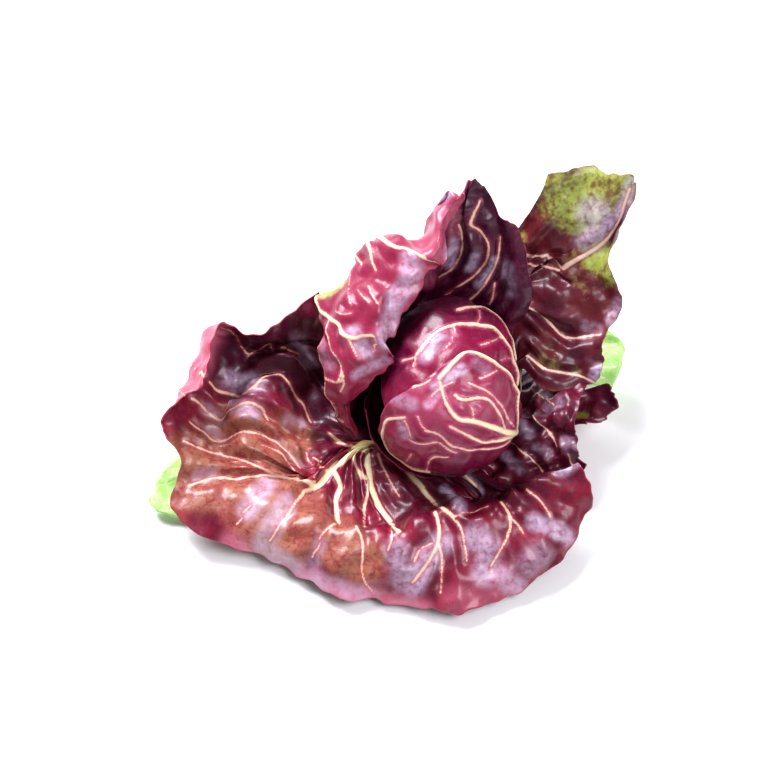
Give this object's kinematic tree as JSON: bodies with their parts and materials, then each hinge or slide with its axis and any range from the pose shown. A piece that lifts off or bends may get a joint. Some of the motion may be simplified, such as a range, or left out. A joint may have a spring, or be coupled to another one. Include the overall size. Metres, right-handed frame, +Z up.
{
  "type": "radicchio head",
  "caption": "Open head of red radicchio: a rolled heart wrapped in ribbed leaves, inside large waved outer leaves on a cut stem.",
  "frame": {"origin": "centre of the stem's flat cut face, on the surface that the head rests on", "axes": "+Z up out of the cut face, -Y towards the side that the picture is taken from, +X to its right"},
  "size_m": [0.2663, 0.2176, 0.1343],
  "materials": {
    "stem": "moist cut stalk, satin",
    "heart_leaf": "waxy satin leaf with cream ribs",
    "outer_leaf": "waxy glossy leaf with pale ribs",
    "bronze_leaf": "satin bronze and green leaf",
    "dark_leaf": "wet dark leaf, glossy",
    "green_leaf": "satin pale green leaf"
  },
  "bodies": {
    "root": {"stem": "stem", "heart_core": "heart_leaf", "heart_leaf_right": "heart_leaf", "heart_leaf_left": "heart_leaf", "heart_leaf_back": "heart_leaf", "leaf_front": "outer_leaf", "leaf_back": "outer_leaf", "leaf_right": "bronze_leaf", "leaf_right_small": "bronze_leaf", "leaf_crumpled": "dark_leaf", "leaf_under_right": "green_leaf", "leaf_under_left": "green_leaf"}
  },
  "joints": []
}
